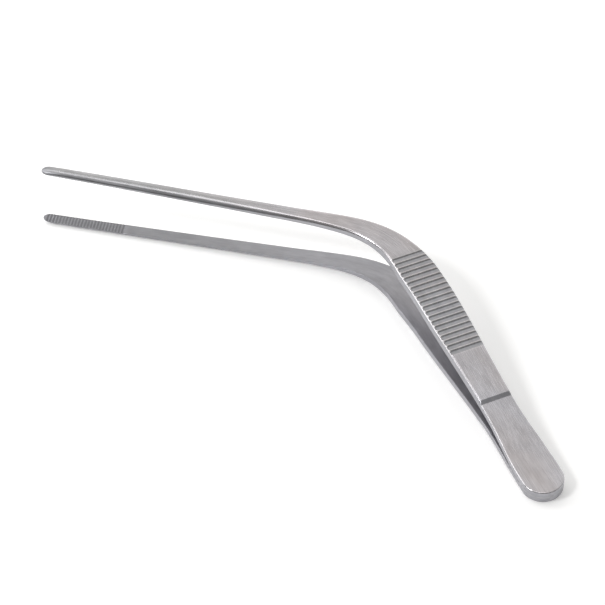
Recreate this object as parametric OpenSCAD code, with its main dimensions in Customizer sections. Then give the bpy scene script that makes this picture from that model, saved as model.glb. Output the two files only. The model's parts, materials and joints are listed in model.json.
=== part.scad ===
// Aquascaping tweezers, knee-bent: two mirror-image spring leaves welded together at the butt.
// Each leaf is a flat handle with a waist, a grooved grip pad, a knee in the plane of the leaf,
// and a slim shank that ends in a serrated jaw. Millimetres.
//
// Leaf coordinates: x runs from the butt end along the handle, y points to the side that the knee
// turns to, and z is the height over the mid-plane between the two leaves.
// The finished part lies on its lower leaf with its box's bottom centre at the origin.

/* [Plan of a leaf] */
// Length of the handle along its middle line, from the butt end to the middle of the knee
handle_len = 86.6; // [86:0.1:110]
// Length of the shank along its middle line, from the middle of the knee to the tip
shank_len = 90.4; // [75:0.1:130]
// Angle that the shank turns away from the handle
knee_angle = 53.5; // [40:1:60]
// Length of the bend at the knee, which is tightest in its middle
knee_len = 30; // [28:0.5:34]
// Width of the rounded butt end
butt_w = 10.5; // [9:0.1:12]
// Width of the waist between the butt and the grip
neck_w = 8.4; // [7:0.1:9]
// Width of the grip
grip_w = 10; // [9:0.1:12]
// Width of the shank where it leaves the knee
shank_w = 3.9; // [3:0.1:4.5]
// Width of the jaw just behind its rounded tip
tip_w = 2.8; // [2.2:0.1:3]

/* [Thickness of a leaf] */
// Thickness of the thin butt plate, which is also the spring
butt_t = 1.6; // [1.3:0.05:1.9]
// Thickness of the grip pad
grip_t = 2.1; // [1.95:0.05:2.6]
// Thickness of the shank at the knee
shank_t = 1.45; // [1.3:0.05:2]
// Thickness of the jaw before its back slopes down to the nose
tip_t = 1.1; // [1:0.05:1.6]
// Thickness of the jaw's nose, at its very end
nose_t = 0.75; // [0.6:0.05:1]
// Radius on the outer edges of the handle
handle_edge_r = 0.6; // [0.3:0.05:0.8]
// Radius on the outer edges of the shank, which give it a rounded back
shank_edge_r = 0.95; // [0.6:0.05:1]

/* [Spring and opening] */
// Where the leaves begin to part
part_x = 11.4; // [9:0.1:13]
// Slope of each leaf away from the mid-plane, in degrees
splay_angle = 3.72; // [2.5:0.01:4.5]
// How far each leaf bows outwards at the middle of its length
bow = 0.9; // [0:0.05:1.2]
// Where the spring's bending is gathered into one hinge line
hinge_x = 21; // [18:0.5:25]
// Thickness of the weld between the two butt plates
weld_t = 0.2; // [0.1:0.05:0.3]
// Length of the weld, from the butt end
weld_len = 7.5; // [5:0.5:8]

/* [Grip grooves] */
// Number of cross grooves on each grip
groove_count = 20; // [12:1:21]
// Distance from one groove to the next
groove_pitch = 1.65; // [1.6:0.01:1.7]
// Middle of the first groove, nearest the butt
groove_x = 47.1; // [40:0.1:50]
// Width of a groove at the surface
groove_w = 1.28; // [1:0.02:1.4]
// Depth of a groove
groove_d = 0.3; // [0.15:0.01:0.35]
// Width of the plain border that the grooves leave on the knee's inner side
groove_border = 0.2; // [0.2:0.05:2]

/* [Jaw teeth] */
// Number of fine cross teeth on each jaw
tooth_count = 25; // [10:1:28]
// Distance from one tooth to the next
tooth_pitch = 0.82; // [0.7:0.01:0.9]
// Depth of the teeth
tooth_d = 0.22; // [0.1:0.01:0.3]
// Smooth lead between the tip and the first tooth
tooth_lead = 0.9; // [0.6:0.1:2]

/* [Lying pose] */
// Nose-up tilt of the mid-plane when the part lies on its lower leaf, in degrees
lie_pitch = 4.33; // [0:0.01:6]
// Sideways tilt of the mid-plane when the part lies on its lower leaf, in degrees
lie_roll = -2.09; // [-4:0.01:2]

/* [Hidden] */
steel = [0.72, 0.71, 0.70];
weld_steel = [0.62, 0.62, 0.62];

// Stations along the middle line of a leaf
leaf_len = handle_len + shank_len;
bend_start = handle_len - knee_len / 2;
bend_end = handle_len + knee_len / 2;
butt_flat_x = 7.3;    // the butt keeps its full width to here
neck_x = 28.5;        // narrowest place of the waist
step_x = 30.3;        // shoulder where the thin butt plate steps up to the grip pad
step_len = 1.1;       // length of that shoulder
wide_x = 64;          // widest place of the grip
flare_x = handle_len - 13.4;    // the grip starts to narrow into the knee
flare_end = handle_len + 29.7;  // the knee has narrowed into the shank
flare_shape = 0.64;   // under 1, it narrows early
knee_lean = 0.92;     // the knee leans this far to its inner side
lean_x = handle_len - 1.5;      // middle of that lean
lean_reach = 23;      // the lean dies out this far to both sides
lift_soft = 3;        // half length of the soft bend where the leaves part
bow_skew = 0.5;       // makes the bow fuller towards the jaw, so that the leaf lies on butt, knee and jaw
nose_len = 6;         // the jaw's back slopes down to its nose over this length
line_step = 0.5;      // step along the middle line when its points are summed up
corner_steps = 4;     // facets in each rounded edge
groove_r = (groove_w * groove_w / 4 + groove_d * groove_d) / (2 * groove_d);

// A smooth change from a to b as x goes from x0 to x1
function ease(x, x0, x1, a, b) =
    let (t = min(1, max(0, (x - x0) / (x1 - x0)))) a + (b - a) * (1 - cos(180 * t)) / 2;
function mix(x, x0, x1, a, b) =
    let (t = min(1, max(0, (x - x0) / (x1 - x0)))) a + (b - a) * t;

// Width along the leaf, before its two ends are rounded
function plain_w(s) =
    s < neck_x ? ease(s, butt_flat_x, neck_x, butt_w, neck_w)
    : s < flare_x ? ease(s, neck_x, wide_x, neck_w, grip_w)
    : s < flare_end ? ease(pow((s - flare_x) / (flare_end - flare_x), flare_shape), 0, 1, grip_w, shank_w)
    : mix(s, flare_end, leaf_len, shank_w, tip_w);
// Half width, with a round end of radius r at the butt and at the tip
function round_end(d, r) = d < r ? sqrt(max(0, r * r - (r - d) * (r - d))) / r : 1;
function half_w(s) =
    plain_w(s) / 2 * round_end(s, butt_w / 2) * round_end(leaf_len - s, tip_w / 2);

function nose_cut(s) = (tip_t - nose_t) * pow(mix(s, leaf_len - nose_len, leaf_len, 0, 1), 2);
function thick(s) =
    s < wide_x ? mix(s, step_x, step_x + step_len, butt_t, grip_t)
    : s < flare_end ? ease(s, flare_x, flare_end, grip_t, shank_t)
    : mix(s, flare_end, leaf_len, shank_t, tip_t) - nose_cut(s);
function edge_r(s) =
    min(ease(s, flare_x, flare_end, handle_edge_r, shank_edge_r), 0.8 * half_w(s), 0.8 * thick(s));

// Middle line of the leaf in plan, and its heading
function heading(s) = ease(s, bend_start, bend_end, 0, knee_angle);
function step_on(i) = let (a = heading((i + 0.5) * line_step)) line_step * [cos(a), sin(a)];
line = [for (i = 0, p = [0, 0]; i <= leaf_len / line_step + 1; p = p + step_on(i), i = i + 1) p];
line_x = [for (i = [0:len(line) - 1]) [i * line_step, line[i][0]]];
line_y = [for (i = [0:len(line) - 1]) [i * line_step, line[i][1]]];
function on_line(s) = [lookup(s, line_x), lookup(s, line_y)];
function lean(s) =
    abs(s - lean_x) > lean_reach ? 0 : knee_lean * (1 + cos(180 * (s - lean_x) / lean_reach)) / 2;
function plan(s, across) =
    let (a = heading(s), v = across + lean(s)) on_line(s) + v * [-sin(a), cos(a)];

// Height of the leaf's inner face over the mid-plane, and its slope
reach = on_line(leaf_len)[0] - part_x;
function run_out(x) =
    x < part_x - lift_soft ? 0
    : x > part_x + lift_soft ? x - part_x
    : pow(x - part_x + lift_soft, 2) / (4 * lift_soft);
function lift(x) =
    let (u = run_out(x), f = u / reach)
    weld_t / 2 + u * tan(splay_angle) + 4 * bow * f * (1 - f) * (1 + bow_skew * (2 * f - 1));
function slope(x) = (lift(x + 0.01) - lift(x - 0.01)) / 0.02;

// One cross section: a flat inner face, upright sides and rounded outer edges
function section(s) =
    let (h = half_w(s), t = thick(s), r = edge_r(s))
    concat(
        [[-h, 0]],
        [for (i = [0:corner_steps]) let (a = 90 * i / corner_steps)
            [-h + r - r * cos(a), t - r + r * sin(a)]],
        [for (i = [corner_steps:-1:0]) let (a = 90 * i / corner_steps)
            [h - r + r * cos(a), t - r + r * sin(a)]],
        [[h, 0]]
    );
function ring(s) = [for (q = section(s)) let (p = plan(s, q[0])) [p[0], p[1], lift(p[0]) + q[1]]];

// Triangles of a closed tube through n rings of k points, each seen clockwise from outside
function skin(n, k) =
    concat(
        [for (i = [1:k - 2]) [0, i + 1, i]],
        [for (j = [0:n - 2], i = [0:k - 1]) let (a = j * k + i, b = j * k + (i + 1) % k) [a, b, a + k]],
        [for (j = [0:n - 2], i = [0:k - 1]) let (a = j * k + i, b = j * k + (i + 1) % k) [b, b + k, a + k]],
        [for (i = [1:k - 2]) let (o = (n - 1) * k) [o, o + i, o + i + 1]]
    );
module loft(stations) {
    rings = [for (s = stations) ring(s)];
    polyhedron(
        points = [for (r = rings, p = r) p],
        faces = skin(len(rings), len(rings[0])),
        convexity = 6
    );
}

// Stations close together where the shape turns, and far apart where it runs straight
end_angles = [for (a = [6:12:90]) a];
butt_stations = concat(
    [for (a = end_angles) butt_w / 2 * (1 - cos(a))],
    [butt_flat_x],
    [for (x = [part_x - lift_soft:1:part_x + lift_soft]) if (x > butt_flat_x) x],
    [for (x = [part_x + lift_soft + 1.6:2.5:hinge_x - 1]) x],
    [hinge_x, hinge_x + 1]
);
arm_stations = concat(
    [for (x = [hinge_x:3:step_x - 1]) x],
    [step_x, step_x + step_len],
    [for (x = [step_x + 3.5:3.5:bend_start - 4]) x],
    [for (s = [bend_start - 2:2:flare_end]) s],
    [for (s = [flare_end + 4:6:leaf_len - nose_len - 2]) s],
    [for (s = [leaf_len - nose_len:1.2:leaf_len - tip_w]) s],
    [for (i = [len(end_angles) - 1:-1:0]) leaf_len - tip_w / 2 * (1 - cos(end_angles[i]))]
);

// The laid-down part's box, from the outlines of both leaves
function laid(p) =
    let (y = p[1] * cos(lie_roll) - p[2] * sin(lie_roll), z = p[1] * sin(lie_roll) + p[2] * cos(lie_roll))
    [p[0] * cos(lie_pitch) - z * sin(lie_pitch), y, p[0] * sin(lie_pitch) + z * cos(lie_pitch)];
outline = [for (s = concat(butt_stations, arm_stations), p = ring(s), side = [-1, 1])
    laid([p[0], p[1], side * p[2]])];
low = [for (i = [0:2]) min([for (p = outline) p[i]])];
high = [for (i = [0:2]) max([for (p = outline) p[i]])];

// Lays the part on its lower leaf, with the bottom centre of its box at the origin
module lay_down() {
    translate([-(low[0] + high[0]) / 2, -(low[1] + high[1]) / 2, -low[2]])
        rotate([lie_roll, -lie_pitch, 0])
            children();
}
module flip() {
    mirror([0, 0, 1]) children();
}
// Puts something on a leaf, z over the inner face at p and turned by angle in the leaf's plane
module on_leaf(p, angle, z) {
    translate([p[0], p[1], lift(p[0]) + z])
        rotate([0, -atan(slope(p[0])), 0])
            rotate([0, 0, angle])
                children();
}

// One cross groove: round-bottomed, with a round end on the knee's inner side
module groove_cutter(x) {
    y_end = on_line(x)[1] + lean(x) + plain_w(x) / 2 - groove_border - groove_w / 2;
    on_leaf([x, 0], 0, thick(x) + groove_r - groove_d) {
        translate([0, y_end, 0]) rotate([90, 0, 0]) cylinder(h = grip_w + 3, r = groove_r, $fn = 48);
        translate([0, y_end, 0]) sphere(r = groove_r, $fn = 48);
    }
}
// The fine cross teeth of a jaw, as one saw-toothed cutter under the inner face
module tooth_cutter() {
    below = 0.5;
    saw = concat(
        [[0, -below]],
        [for (i = [0:tooth_count - 1]) each [
            [-i * tooth_pitch, -0.01], [-(i + 0.5) * tooth_pitch, tooth_d], [-(i + 1) * tooth_pitch, -0.01]
        ]],
        [[-tooth_count * tooth_pitch, -below]]
    );
    on_leaf(plan(leaf_len, 0), knee_angle, 0)
        translate([-tooth_lead, shank_w, 0])
            rotate([90, 0, 0])
                linear_extrude(height = 2 * shank_w) polygon(saw);
}

// A leaf in leaf coordinates, in its two lengths: the butt plate behind the hinge line, and the arm
module butt_plate() {
    intersection() {
        loft(butt_stations);
        translate([0, -butt_w, 0]) cube([hinge_x, 2 * butt_w, 10]);
    }
}
module arm() {
    difference() {
        loft(arm_stations);
        for (i = [0:groove_count - 1]) groove_cutter(groove_x + i * groove_pitch);
        tooth_cutter();
    }
}

module upper_butt_plate() {
    color(steel) lay_down() butt_plate();
}
module upper_arm() {
    color(steel) lay_down() arm();
}
// The weld fills the thin space between the two butt plates and is ground flush with them
module butt_weld() {
    rim = [for (s = concat([for (a = end_angles) butt_w / 2 * (1 - cos(a))], [weld_len])) [s, half_w(s)]];
    color(weld_steel) lay_down()
        translate([0, 0, -weld_t / 2])
            linear_extrude(height = weld_t)
                polygon(concat(rim, [for (i = [len(rim) - 1:-1:0]) [rim[i][0], -rim[i][1]]]));
}
module lower_butt_plate() {
    color(steel) lay_down() flip() butt_plate();
}
module lower_arm() {
    color(steel) lay_down() flip() arm();
}

upper_butt_plate();
upper_arm();
butt_weld();
lower_butt_plate();
lower_arm();
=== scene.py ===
"""Looks for the knee-bent aquascaping tweezers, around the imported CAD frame.

Each leaf is one mesh from butt to tip that bends across its hinge line. Leaf coordinates are those
of the CAD model: x along the handle from the butt end, y to the side that the knee turns to, and z
the height over the mid-plane between the leaves, in millimetres.
"""

import json
import math

import bpy
import numpy as np
from mathutils import Matrix, Vector


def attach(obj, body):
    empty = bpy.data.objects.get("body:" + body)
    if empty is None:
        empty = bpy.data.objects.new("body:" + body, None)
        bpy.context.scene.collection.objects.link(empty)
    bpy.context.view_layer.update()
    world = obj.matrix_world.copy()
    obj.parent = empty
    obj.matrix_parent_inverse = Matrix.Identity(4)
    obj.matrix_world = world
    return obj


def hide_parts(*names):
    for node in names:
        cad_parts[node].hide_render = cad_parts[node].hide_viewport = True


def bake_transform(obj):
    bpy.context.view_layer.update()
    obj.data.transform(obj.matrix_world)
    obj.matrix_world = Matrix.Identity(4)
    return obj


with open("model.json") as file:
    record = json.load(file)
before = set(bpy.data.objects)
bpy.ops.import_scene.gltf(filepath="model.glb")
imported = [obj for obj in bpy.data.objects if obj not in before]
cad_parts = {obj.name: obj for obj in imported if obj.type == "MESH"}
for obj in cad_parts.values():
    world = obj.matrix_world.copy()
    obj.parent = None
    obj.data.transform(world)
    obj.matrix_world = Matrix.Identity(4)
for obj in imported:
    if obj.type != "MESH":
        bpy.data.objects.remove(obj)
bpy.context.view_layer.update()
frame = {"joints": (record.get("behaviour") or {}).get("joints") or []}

MM = 0.001

# ---------------------------------------------------------------- plan and thickness, as in the CAD
HANDLE_LEN, SHANK_LEN = 86.6, 90.4
KNEE_ANGLE, KNEE_LEN = math.radians(53.5), 30.0
BUTT_W, NECK_W, GRIP_W, SHANK_W, TIP_W = 10.5, 8.4, 10.0, 3.9, 2.8
BUTT_T, GRIP_T, SHANK_T, TIP_T, NOSE_T, NOSE_LEN = 1.6, 2.1, 1.45, 1.1, 0.75, 6.0
TIP_ROUND = 2.0       # length over which the tip's outline is rounded
BUTT_EDGE_R, HANDLE_EDGE_R, KNEE_EDGE_R = 0.3, 0.6, 0.95    # radii of the outer edges
KNEE_EDGE_X = 76.0    # the outer edges grow rounder between here and the end of the knee
CROWN_X, CROWN_END = 100.0, 142.0    # between these two places the back turns half-round
CROWN_W, CROWN_T = 0.95, 0.9         # the crown's share of the half width and of the thickness
PART_X, SPLAY, BOW, BOW_SKEW, LIFT_SOFT = 11.4, math.radians(3.72), 0.9, 0.5, 3.0
HINGE_X, WELD_T, WELD_LEN = 21.0, 0.2, 7.5
BUTT_FLAT_X, NECK_X, STEP_X, STEP_LEN = 7.3, 28.5, 30.3, 1.1
WIDE_X, FLARE_X, FLARE_END, FLARE_SHAPE = 64.0, 73.2, 116.3, 0.64
KNEE_LEAN, LEAN_X, LEAN_REACH = 0.92, 85.1, 23.0
GROOVE_COUNT, GROOVE_PITCH, GROOVE_X = 20, 1.65, 47.1
GROOVE_W, GROOVE_D, GROOVE_WALL, GROOVE_BORDER = 1.4, 0.3, 0.3, 0.2
GROOVES_START = GROOVE_X - GROOVE_W / 2
GROOVES_END = GROOVE_X + (GROOVE_COUNT - 1) * GROOVE_PITCH + GROOVE_W / 2
TOOTH_COUNT, TOOTH_PITCH, TOOTH_D, TOOTH_LEAD = 25, 0.82, 0.22, 0.9
LIE_PITCH, LIE_ROLL = math.radians(4.33), math.radians(-2.09)

LEAF_LEN = HANDLE_LEN + SHANK_LEN
BEND_START, BEND_END = HANDLE_LEN - KNEE_LEN / 2, HANDLE_LEN + KNEE_LEN / 2
LINE_STEP = 0.5
SQUARE_TO = 80.0    # sections stay square to the handle up to here, so that they follow the grooves
SQUARE_END = 101.0  # from here on they are square to the middle line


def mix(x, x0, x1, a, b):
    """A straight change from a to b as x goes from x0 to x1."""
    return a + (b - a) * np.clip((x - x0) / (x1 - x0), 0, 1)


def ease(x, x0, x1, a, b):
    """A smooth change from a to b as x goes from x0 to x1."""
    return a + (b - a) * (1 - np.cos(np.pi * np.clip((x - x0) / (x1 - x0), 0, 1))) / 2


def plain_w(s):
    """Width at the distance s along the middle line, before the two ends are rounded."""
    if s < NECK_X:
        return ease(s, BUTT_FLAT_X, NECK_X, BUTT_W, NECK_W)
    if s < FLARE_X:
        return ease(s, NECK_X, WIDE_X, NECK_W, GRIP_W)
    if s < FLARE_END:
        return ease(((s - FLARE_X) / (FLARE_END - FLARE_X)) ** FLARE_SHAPE, 0, 1, GRIP_W, SHANK_W)
    return mix(s, FLARE_END, LEAF_LEN, SHANK_W, TIP_W)


def round_end(d, r):
    """Share of the width at the distance d from a round end of radius r."""
    return math.sqrt(max(0.0, r * r - (r - d) ** 2)) / r if d < r else 1.0


def half_w(s):
    return plain_w(s) / 2 * round_end(s, BUTT_W / 2) * round_end(LEAF_LEN - s, TIP_ROUND)


def thick(s):
    if s < WIDE_X:
        return mix(s, STEP_X, STEP_X + STEP_LEN, BUTT_T, GRIP_T)
    if s < FLARE_END:
        return ease(s, FLARE_X, FLARE_END, GRIP_T, SHANK_T)
    nose = (TIP_T - NOSE_T) * mix(s, LEAF_LEN - NOSE_LEN, LEAF_LEN, 0, 1) ** 2
    return mix(s, FLARE_END, LEAF_LEN, SHANK_T, TIP_T) - nose


def heading(s):
    return float(ease(s, BEND_START, BEND_END, 0, KNEE_ANGLE))


LINE_S = np.arange(0, LEAF_LEN + 2 * LINE_STEP, LINE_STEP)
headings = np.array([heading(s + LINE_STEP / 2) for s in LINE_S[:-1]])
LINE_X, LINE_Y = (np.concatenate([[0], np.cumsum(LINE_STEP * f(headings))]) for f in (np.cos, np.sin))
REACH = np.interp(LEAF_LEN, LINE_S, LINE_X) - PART_X


def lean(s):
    """How far the knee leans to its inner side."""
    if abs(s - LEAN_X) > LEAN_REACH:
        return 0.0
    return KNEE_LEAN * (1 + math.cos(math.pi * (s - LEAN_X) / LEAN_REACH)) / 2


def plan(s, across):
    """The place in plan at the distance s along the leaf and this far across it."""
    a = heading(s)
    line = np.array([np.interp(s, LINE_S, LINE_X), np.interp(s, LINE_S, LINE_Y)])
    return line + (across + lean(s)) * np.array([-math.sin(a), math.cos(a)])


def lift(x):
    """Height of a leaf's inner face over the mid-plane."""
    u = np.where(x < PART_X - LIFT_SOFT, 0.0,
                 np.where(x > PART_X + LIFT_SOFT, x - PART_X,
                          (x - PART_X + LIFT_SOFT) ** 2 / (4 * LIFT_SOFT)))
    f = u / REACH
    return WELD_T / 2 + u * math.tan(SPLAY) + 4 * BOW * f * (1 - f) * (1 + BOW_SKEW * (2 * f - 1))


# ---------------------------------------------------------------- from leaf to row coordinates
LAY = Matrix.Rotation(-LIE_PITCH, 3, "Y") @ Matrix.Rotation(LIE_ROLL, 3, "X")
upper_hinge = next(j for j in frame["joints"] if j["child"] == "upper_leaf")
HINGE_LEAF = Vector((HINGE_X, 0, float(lift(HINGE_X))))    # on the inner face of the upper leaf
ORIGIN = Vector(upper_hinge["pos_m"]) - LAY @ HINGE_LEAF * MM


def to_row(points):
    return np.array(points, float) @ np.array(LAY).T * MM + np.array(ORIGIN)


# ---------------------------------------------------------------- sections of a leaf
EDGE_S = np.arange(BEND_START - 12, SQUARE_END + 14, 0.1)    # a little more than the knee
EDGES = {side: np.array([plan(s, side * half_w(s)) for s in EDGE_S]) for side in (1, -1)}


def section_frame(s):
    """The middle, the direction across and the widths to the left and right edge of one section."""
    a = heading(s)
    middle = plan(s, 0)
    if BEND_START < s < SQUARE_END:
        a *= float(ease(s, SQUARE_TO, SQUARE_END, 0, 1))
        ahead, across = np.array([math.cos(a), math.sin(a)]), np.array([-math.sin(a), math.cos(a)])
        widths = []
        for side in (1, -1):
            past = (EDGES[side] - middle) @ ahead
            edge = np.array([np.interp(0, past, EDGES[side][:, k]) for k in (0, 1)])
            widths.append(abs((edge - middle) @ across))
        return middle, across, widths[0], widths[1]
    return middle, np.array([-math.sin(a), math.cos(a)]), half_w(s), half_w(s)


def smooth(t):
    t = np.clip(t, 0, 1)
    return t * t * (3 - 2 * t)


def groove_share(x, y):
    """How deep into a cross groove a point of the outer face is, from 0 to 1."""
    k = np.clip(np.round((x - GROOVE_X) / GROOVE_PITCH), 0, GROOVE_COUNT - 1)
    middle = GROOVE_X + k * GROOVE_PITCH
    edge = np.array([plan(m, plain_w(m) / 2)[1] for m in middle])
    r = np.hypot(x - middle, np.maximum(0, y - (edge - GROOVE_BORDER - GROOVE_W / 2)))
    return smooth((GROOVE_W / 2 - r) / GROOVE_WALL)


def tooth_share(s):
    """How deep the inner face is cut between two teeth, from 0 to 1."""
    t = (LEAF_LEN - TOOTH_LEAD - s) / TOOTH_PITCH
    return 1 - abs(2 * (t % 1) - 1) if 0 < t < TOOTH_COUNT else 0.0


# Points of a section's ring: the rounded outer edges, the outer face (denser where the grooves end),
# the inner face and its slightly broken edges.
CORNER = np.radians(np.linspace(0, 90, 10))
DENSE = np.linspace(0, 1, 25)[1:-1]
COARSE = np.linspace(0, 1, 13)[:-1]
INNER = np.linspace(0, 1, 11)[1:-1]
BREAK = np.radians(np.linspace(0, 90, 4))
DENSE_W, DENSE_SHARE = 2.6, 0.45      # width of the dense zone, and its largest share of the face
WELD_BREAK, INNER_BREAK = 0.02, 0.07  # size of the broken inner edges at the weld and elsewhere
BREAK_GROW = 6.0                      # length over which one becomes the other
MAX_CORNER, MAX_BREAK = 0.8, 0.2      # largest shares of the half width

# Masks for the finish and for painted highlight and painted shade, from 0 to 1.
WALL_FADE = 0.45    # the side walls' coarser finish and painted shade fade out over this share of the rounded edge
CROWN_FADE = 0.2    # and over this much more of it where the back is half-round
BREAK_WALL = 0.4    # a broken edge has that finish and painted shade from this share of its height on
INNER_DULL_AND_SHADE = 0.95   # how much of that finish and painted shade the inner faces have
EDGE_BAND = 0.3     # width of the worn band along the outer edges
TOOTH_DARK = 0.7    # how much of the grooves' dark finish and painted shade the teeth get in their hollows
STEP_SHADE, STEP_DULL_AND_SHADE = 0.7, 0.8    # how much of the grooves' and walls' painted shade and rougher finish the shoulder gets


def edge_radius(s):
    if s > KNEE_EDGE_X:
        return float(ease(s, KNEE_EDGE_X, BEND_END, HANDLE_EDGE_R, KNEE_EDGE_R))
    return float(mix(s, STEP_X, STEP_X + STEP_LEN, BUTT_EDGE_R, HANDLE_EDGE_R))


def edge_inset(s, v, left, right):
    """How far the points at v across the leaf are from its outline."""
    inset = np.minimum(left - v, v + right)
    for d, long, half in ((s, BUTT_W / 2, BUTT_W / 2), (LEAF_LEN - s, TIP_ROUND, TIP_W / 2)):
        if d < long:
            inset = np.minimum(inset, half * (1 - np.hypot((long - d) / long, v / half)))
    return inset


def section(s):
    """One closed ring: its points, their places on the leaf, and their edge, groove and wall masks for
    finish, painted highlight and painted shade.
    """
    middle, across, left, right = section_frame(s)
    t, h = float(thick(s)), half_w(s)
    r = edge_radius(s)
    crown = float(ease(s, CROWN_X, CROWN_END, 0, 1))
    wide = r + crown * (CROWN_W * plain_w(s) / 2 - r)
    high = r + crown * (CROWN_T * t - r)

    # Inner face from right to left, with slightly broken edges and the jaw's teeth
    b = min(float(ease(s, WELD_LEN, WELD_LEN + BREAK_GROW, WELD_BREAK, INNER_BREAK)), MAX_BREAK * h)
    v_in = np.concatenate([-right + b * (1 - np.sin(BREAK[::-1])),
                           (-right + b) + (left + right - 2 * b) * INNER,
                           left - b * (1 - np.sin(BREAK))])
    z_in = np.concatenate([b * (1 - np.cos(BREAK[::-1])), np.zeros(len(INNER)), b * (1 - np.cos(BREAK))])
    z_in = np.maximum(z_in, TOOTH_D * tooth_share(s))

    # Outer face from left to right, with rounded edges and the grip's grooves
    c = min(wide, MAX_CORNER * h)
    v_left, v_right = left - c, -right + c
    zone = min(DENSE_W, DENSE_SHARE * (v_left - v_right))
    v_out = np.concatenate([left - c * (1 - np.cos(CORNER)),
                            v_left - zone * DENSE,
                            v_left - zone + (v_right - v_left + zone) * COARSE,
                            -right + c * (1 - np.cos(CORNER[::-1]))])
    inset = np.clip(edge_inset(s, v_out, left, right), 0, wide)
    z_out = t - high + high * np.sqrt(1 - (1 - inset / wide) ** 2)
    in_grooves = GROOVES_START < middle[0] < GROOVES_END
    cut = np.zeros(len(v_out))
    if in_grooves:
        cut = groove_share(middle[0] + v_out * across[0], middle[1] + v_out * across[1])
    z_out = np.minimum(z_out, t - GROOVE_D * cut)

    # A worn band along the outer edges; on the grip the rib crests get it too, as a painted highlight
    wear_and_highlight = np.clip(1 - inset / EDGE_BAND, 0, 1)
    if in_grooves:
        wear_and_highlight = np.maximum(wear_and_highlight, 1 - cut)
    # The side walls get a coarser finish and painted shade
    wall = np.clip(1 - inset / (wide * (WALL_FADE + CROWN_FADE * crown)), 0, 1)
    # The shoulder gets painted shade through both masks, with a rougher finish
    if STEP_X < s < STEP_X + STEP_LEN:
        cut, wall = np.full(len(v_out), STEP_SHADE), np.full(len(v_out), STEP_DULL_AND_SHADE)

    v = np.concatenate([v_in, v_out])
    xy = middle + v[:, None] * across
    z = lift(xy[:, 0]) + np.concatenate([z_in, z_out])
    place = np.stack([np.full(len(v), s), v, z], -1)
    wear_and_highlight_mask = np.concatenate([np.zeros(len(v_in)), wear_and_highlight])
    # Grooves and the hollows between teeth get a dark finish with painted shade
    groove_mask = np.concatenate([np.full(len(v_in), TOOTH_DARK * float(tooth_share(s))), cut])
    # Inner faces and their broken edges get the wall finish and painted shade
    wall_finish_and_shade_mask = np.concatenate([np.where(z_in > BREAK_WALL * b, 1.0, INNER_DULL_AND_SHADE), wall])
    return np.column_stack([xy, z]), place, wear_and_highlight_mask, groove_mask, wall_finish_and_shade_mask


END_ANGLES = np.radians(np.linspace(6, 90, 22))
PLATE_STEP, SHANK_STEP, MIN_STEP = 0.7, 0.8, 0.02    # longest and shortest steps between sections
SHOULDER_EDGE = 0.12    # sections this close to both ends of the shoulder keep its edges crisp
TOOTH_PARTS = 8


def stations():
    """Where the sections are along the middle line: dense at the ends, shoulder, grooves and teeth."""
    s = list(BUTT_W / 2 * (1 - np.cos(END_ANGLES)))
    s += list(LEAF_LEN - TIP_ROUND * (1 - np.cos(END_ANGLES)))
    s += list(np.arange(BUTT_W / 2 + 0.4, STEP_X - 0.3, PLATE_STEP))
    for x in (STEP_X, STEP_X + STEP_LEN):
        s += [x - SHOULDER_EDGE, x, x + SHOULDER_EDGE]
    s += list(np.arange(STEP_X + STEP_LEN + 0.6, GROOVE_X - 1, PLATE_STEP))
    s += list(np.arange(FLARE_X + 6, LEAF_LEN - TOOTH_COUNT * TOOTH_PITCH - 1.4, SHANK_STEP))
    wall = np.linspace(GROOVE_W / 2 - GROOVE_WALL, GROOVE_W / 2, 6)
    for k in range(GROOVE_COUNT):
        x = GROOVE_X + k * GROOVE_PITCH
        s += list(np.interp([x, *(x - wall), *(x + wall)], LINE_X, LINE_S))
    s += list(LEAF_LEN - TOOTH_LEAD - TOOTH_PITCH * np.arange(TOOTH_COUNT * TOOTH_PARTS + 1) / TOOTH_PARTS)
    s = np.array(sorted(s))
    return s[np.concatenate([[True], np.diff(s) > MIN_STEP])]


SHARP_ANGLE = math.radians(32)


def mesh_object(name, points, faces):
    mesh = bpy.data.meshes.new(name)
    mesh.from_pydata([tuple(p) for p in points], [], faces)
    mesh.validate()
    obj = bpy.data.objects.new(name, mesh)
    bpy.context.scene.collection.objects.link(obj)
    return obj


def finish_mesh(obj):
    obj.data.shade_smooth()
    obj.data.set_sharp_from_angle(angle=SHARP_ANGLE)


def tube_faces(n, k):
    """Faces of a tube of n rings with k points each, closed at both ends."""
    faces = [[j * k + i, j * k + (i + 1) % k, (j + 1) * k + (i + 1) % k, (j + 1) * k + i]
             for j in range(n - 1) for i in range(k)]
    return faces + [list(range(k))[::-1], [(n - 1) * k + i for i in range(k)]]


def store(obj, name, kind, values):
    layer = obj.data.attributes.new(name, kind, "POINT")
    field = "vector" if kind == "FLOAT_VECTOR" else "value"
    layer.data.foreach_set(field, np.ravel(values).astype(np.float32))


def make_leaf(name, side):
    rings = [section(s) for s in stations()]
    points = np.concatenate([r[0] for r in rings])
    points[:, 2] *= side
    faces = tube_faces(len(rings), len(rings[0][0]))
    if side < 0:
        faces = [f[::-1] for f in faces]
    obj = mesh_object(name, to_row(points), faces)
    store(obj, "leaf_place", "FLOAT_VECTOR", np.concatenate([r[1] for r in rings]) * [1, 1, side])
    for i, mask in enumerate(("edge", "groove", "wall"), start=2):
        store(obj, mask, "FLOAT", np.concatenate([r[i] for r in rings]))
    finish_mesh(obj)
    return obj


WELD_INSET = 0.02    # the weld is ground this far back from the rim of the butt plates


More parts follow.
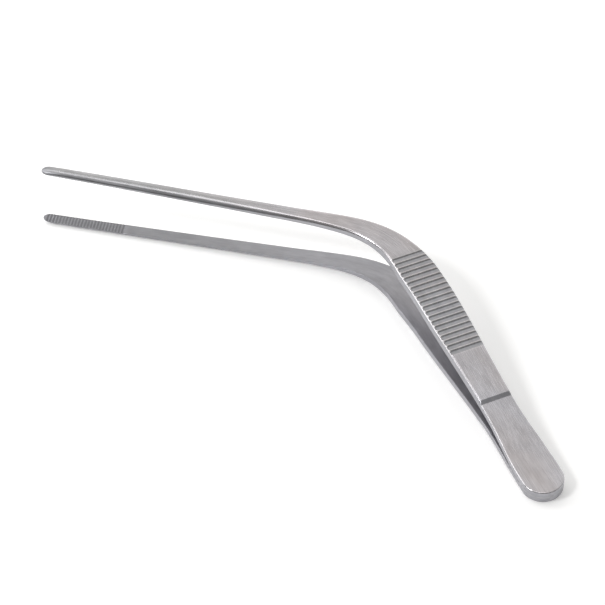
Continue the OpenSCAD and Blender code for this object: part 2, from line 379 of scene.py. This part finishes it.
def make_weld():
    """The seam between the butt plates."""
    ends = np.radians(np.linspace(4, 90, 24))
    s = list(BUTT_W / 2 * (1 - np.cos(ends))) + [WELD_LEN]
    rim = [(u, half_w(u) - WELD_INSET) for u in s]
    rim = rim + [(x, -y) for x, y in rim[::-1]]
    z = WELD_T / 2
    points = [(x, y, -z) for x, y in rim] + [(x, y, z) for x, y in rim]
    n = len(rim)
    faces = [list(range(n)), list(range(n, 2 * n))[::-1]]
    faces += [[i, n + i, n + (i + 1) % n, (i + 1) % n] for i in range(n)]
    obj = mesh_object("butt_weld_seam", to_row(points), faces)
    finish_mesh(obj)
    return obj


# ---------------------------------------------------------------- materials
class Nodes:
    """Short calls for building one node tree."""

    def __init__(self, name):
        self.material = bpy.data.materials.new(name)
        self.material.use_nodes = True
        self.tree = self.material.node_tree
        self.shader = self.tree.nodes["Principled BSDF"]

    def add(self, kind, inputs=None, **settings):
        node = self.tree.nodes.new(kind)
        for key, value in settings.items():
            setattr(node, key, value)
        for key, value in (inputs or {}).items():
            self.put(node.inputs[key], value)
        return node

    def put(self, socket, value):
        if isinstance(value, bpy.types.NodeSocket):
            self.tree.links.new(value, socket)
        else:
            socket.default_value = value

    def math(self, operation, a, b):
        return self.add("ShaderNodeMath", {0: a, 1: b}, operation=operation).outputs[0]

    def noise(self, place, stretch, scale, detail=3.0, roughness=0.5):
        scaled = self.add("ShaderNodeVectorMath", {0: place, 1: stretch}, operation="MULTIPLY")
        node = self.add("ShaderNodeTexNoise", {"Vector": scaled.outputs[0], "Scale": scale,
                                               "Detail": detail, "Roughness": roughness})
        return node.outputs["Fac"]

    def blend_colour(self, fac, a, b):
        node = self.add("ShaderNodeMix", data_type="RGBA")
        self.put(node.inputs[0], fac)
        self.put(node.inputs[6], a)
        self.put(node.inputs[7], b)
        return node.outputs[2]

    def ramp(self, value, low, high, a=0.0, b=1.0):
        node = self.add("ShaderNodeMapRange", {"Value": value, "From Min": low, "From Max": high,
                                               "To Min": a, "To Max": b})
        return node.outputs[0]


def grey(v):
    return (v, v, v, 1.0)


# The worn tint lightens worn edges and paints a highlight on the rib crests; the groove and wall tints are
# darker finishes that also paint shade into grooves, teeth, the shoulder, side walls and inner faces.
TINTS = {
    "warm": (0.55, 0.51, 0.515, 1.0),
    "cool": (0.54, 0.53, 0.565, 1.0),
    "shank": (0.53, 0.535, 0.55, 1.0),
    "wear_and_highlight": grey(0.7),
    "groove": (0.335, 0.34, 0.36, 1.0),
    "wall": (0.33, 0.33, 0.355, 1.0),
}
# Stretch of each noise along, across and through the leaf, in cycles per millimetre before its scale
BRUSH, CLOUD, PATCH, GRAIN = (0.06, 2.2, 2.2), (0.45, 0.8, 0.8), (0.3, 0.9, 0.9), (1.0, 1.0, 1.0)
BUMP_HEIGHT = 0.00002    # metres
NOSE_DULL_LEN = 5.0    # the nose is duller than the rest over this length
KNEE_PAINTED_LIGHT_X, SHANK_PAINTED_SHADE_X = 108.0, 140.0    # between these two places the colour changes to the shank's tint and goes from a painted highlight at the knee to painted shade along the shank


def satin_steel():
    m = Nodes("satin_steel")
    place = m.add("ShaderNodeAttribute", attribute_name="leaf_place").outputs["Vector"]
    edge, groove, wall = (m.add("ShaderNodeAttribute", attribute_name=mask).outputs["Fac"]
                          for mask in ("edge", "groove", "wall"))
    along = m.add("ShaderNodeSeparateXYZ", {0: place}).outputs[0]
    brush = m.noise(place, BRUSH, 1.6, 6.0, 0.65)
    cloud = m.noise(place, CLOUD, 0.12)
    patch = m.noise(place, PATCH, 0.6, 3.0, 0.6)
    grain = m.noise(place, GRAIN, 9.0, 2.0, 0.7)
    # Wear on the edges and the painted highlight on the rib crests, in patches
    wear_and_highlight = m.math("MULTIPLY", edge, m.ramp(cloud, 0.35, 0.6, 0.35, 1.0))
    nose = m.ramp(along, LEAF_LEN - NOSE_DULL_LEN, LEAF_LEN - 1)

    # One finish is laid over the other, with the painted highlight on edges and crests and the painted
    # shade in grooves, teeth, shoulder and walls, then the brushing over all of them
    colour = m.blend_colour(m.ramp(cloud, 0.3, 0.7), TINTS["warm"], TINTS["cool"])
    colour = m.blend_colour(m.ramp(along, KNEE_PAINTED_LIGHT_X, SHANK_PAINTED_SHADE_X, 0.1, 0.8), colour, TINTS["shank"])
    for mask, share, tint in ((wear_and_highlight, 0.5, "wear_and_highlight"), (nose, 0.6, "groove"), (groove, 0.8, "groove"),
                              (wall, 0.85, "wall")):
        colour = m.blend_colour(m.math("MULTIPLY", mask, share), colour, TINTS[tint])
    streak = m.ramp(brush, 0.32, 0.68, 0.91, 1.07)
    # Painted highlight at the knee, fading to painted shade along the shank
    streak = m.math("MULTIPLY", streak, m.ramp(along, KNEE_PAINTED_LIGHT_X, SHANK_PAINTED_SHADE_X, 1.06, 0.86))
    streak = m.math("MULTIPLY", streak, m.ramp(patch, 0.35, 0.65, 0.92, 1.07))
    colour = m.add("ShaderNodeVectorMath", {0: colour, "Scale": streak}, operation="SCALE").outputs[0]

    rough = m.math("ADD", m.ramp(brush, 0.3, 0.7, 0.2, 0.29), m.ramp(cloud, 0.3, 0.7, -0.02, 0.03))
    for mask, more in ((wear_and_highlight, -0.08), (nose, 0.16), (groove, 0.1), (wall, 0.12)):
        rough = m.math("ADD", rough, m.math("MULTIPLY", mask, more))
    height = m.math("ADD", m.math("MULTIPLY", brush, 0.6), m.math("MULTIPLY", grain, 0.4))
    bump = m.add("ShaderNodeBump", {"Strength": 0.25, "Distance": BUMP_HEIGHT, "Height": height})

    m.shader.inputs["Metallic"].default_value = 1.0
    m.put(m.shader.inputs["Base Color"], colour)
    m.put(m.shader.inputs["Roughness"], rough)
    m.put(m.shader.inputs["Normal"], bump.outputs[0])
    return m.material


def ground_weld():
    m = Nodes("ground_weld")
    place = m.add("ShaderNodeTexCoord").outputs["Object"]    # in metres
    brush = m.noise(place, (300.0, 300.0, 4000.0), 1.0)
    cloud = m.noise(place, (600.0, 600.0, 600.0), 1.0)
    bump = m.add("ShaderNodeBump", {"Strength": 0.3, "Distance": BUMP_HEIGHT, "Height": brush})
    m.shader.inputs["Metallic"].default_value = 1.0
    m.put(m.shader.inputs["Base Color"], m.blend_colour(m.ramp(cloud, 0.3, 0.7), grey(0.42), grey(0.56)))
    m.put(m.shader.inputs["Roughness"], m.ramp(brush, 0.3, 0.7, 0.34, 0.48))
    m.put(m.shader.inputs["Normal"], bump.outputs[0])
    return m.material


steel, weld_metal = satin_steel(), ground_weld()
for name, side in (("upper", 1), ("lower", -1)):
    leaf = make_leaf(f"{name}_leaf_blade", side)
    leaf.data.materials.append(steel)
    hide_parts(f"{name}_butt_plate", f"{name}_arm")
    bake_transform(leaf)
weld = make_weld()
weld.data.materials.append(weld_metal)
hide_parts("butt_weld")
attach(weld, "butt")


# ---------------------------------------------------------------- floor, light and camera
def facing(direction):
    """The turn that points an object's Z axis this way."""
    return Vector(direction).to_track_quat("Z", "Y")


def softbox(name, direction, distance, size, watts, aim):
    """An area light in this direction from the point it is aimed at."""
    data = bpy.data.lights.new(name, "AREA")
    data.shape = "RECTANGLE"
    data.size, data.size_y = size
    data.energy = watts
    obj = bpy.data.objects.new(name, data)
    obj.location = aim + Vector(direction).normalized() * distance
    obj.rotation_euler = facing(direction).to_euler()
    obj.visible_camera = False
    bpy.context.scene.collection.objects.link(obj)


def floor_material():
    m = Nodes("pale_floor")
    place = m.add("ShaderNodeTexCoord").outputs["Object"]
    tone = m.noise(place, (1.0, 1.0, 1.0), 40.0, 4.0)
    m.put(m.shader.inputs["Base Color"], m.blend_colour(tone, grey(0.88), grey(0.9)))
    m.shader.inputs["Roughness"].default_value = 0.7
    m.shader.inputs["Specular IOR Level"].default_value = 0.2
    m.shader.inputs["Emission Color"].default_value = grey(1.0)
    m.shader.inputs["Emission Strength"].default_value = 0.25
    return m.material


FLOOR = 4.0    # half its width, in metres
floor = mesh_object("floor", [(x * FLOOR, y * FLOOR, 0) for x, y in ((-1, -1), (1, -1), (1, 1), (-1, 1))],
                    [[0, 1, 2, 3]])
floor.data.materials.append(floor_material())

ELEVATION, AZIMUTH, ROLL = math.radians(43.19), math.radians(244.13), math.radians(1.4)
DISTANCE, FOCAL = 1.076, 254.6
AIM = Vector((0.0161, -0.0090, 0.0))
back = Vector((math.sin(AZIMUTH) * math.cos(ELEVATION), -math.cos(AZIMUTH) * math.cos(ELEVATION),
               math.sin(ELEVATION)))

softbox("key", (-0.03, 0.69, 0.72), 1.2, (0.24, 0.24), 5.4, AIM)
softbox("left", (0.62, 0.62, 0.45), 1.0, (0.7, 0.45), 3.0, AIM)
softbox("behind", (0.92, 0.39, 1.54), 1.2, (0.5, 0.5), 1.5, AIM)
softbox("overhead", (0.0, 0.0, 1.0), 1.1, (0.5, 0.5), 1.4, AIM)

world = bpy.data.worlds.new("studio")
bpy.context.scene.world = world
world.use_nodes = True
tree = world.node_tree


def world_math(operation, *values):
    node = tree.nodes.new("ShaderNodeMath")
    node.operation = operation
    for socket, value in zip(node.inputs, values):
        if isinstance(value, bpy.types.NodeSocket):
            tree.links.new(value, socket)
        else:
            socket.default_value = value
    return node.outputs[0]


def glow(direction, sharpness, strength, base):
    """A soft bright region of the studio's walls around one direction, on top of a base level."""
    dot = tree.nodes.new("ShaderNodeVectorMath")
    dot.operation = "DOT_PRODUCT"
    tree.links.new(around, dot.inputs[0])
    dot.inputs[1].default_value = Vector(direction).normalized()
    facing_it = world_math("MAXIMUM", dot.outputs["Value"], 0.0)
    return world_math("MULTIPLY_ADD", world_math("POWER", facing_it, sharpness), strength, base)


around = tree.nodes.new("ShaderNodeTexCoord").outputs["Generated"]
DIM = 0.16    # level of the studio's walls away from the glows
level = glow((-back.x, -back.y, 0.27), 2.0, 0.9, DIM)    # low behind the part, seen from the camera
level = glow((-0.4, -0.9, 0.5), 3.0, 0.25, level)         # and a fainter one to its right
tree.links.new(level, tree.nodes["Background"].inputs["Strength"])
tree.nodes["Background"].inputs["Color"].default_value = (1.0, 0.99, 0.965, 1.0)

camera = bpy.data.objects.new("camera", bpy.data.cameras.new("camera"))
camera.data.lens, camera.data.sensor_width = FOCAL, 36.0
camera.data.clip_start, camera.data.clip_end = 0.05, 50.0
camera.location = AIM + back * DISTANCE
camera.rotation_euler = (facing(back) @ Matrix.Rotation(ROLL, 3, "Z").to_quaternion()).to_euler()
bpy.context.scene.collection.objects.link(camera)
bpy.context.scene.camera = camera
bpy.context.scene.view_settings.view_transform = "Standard"
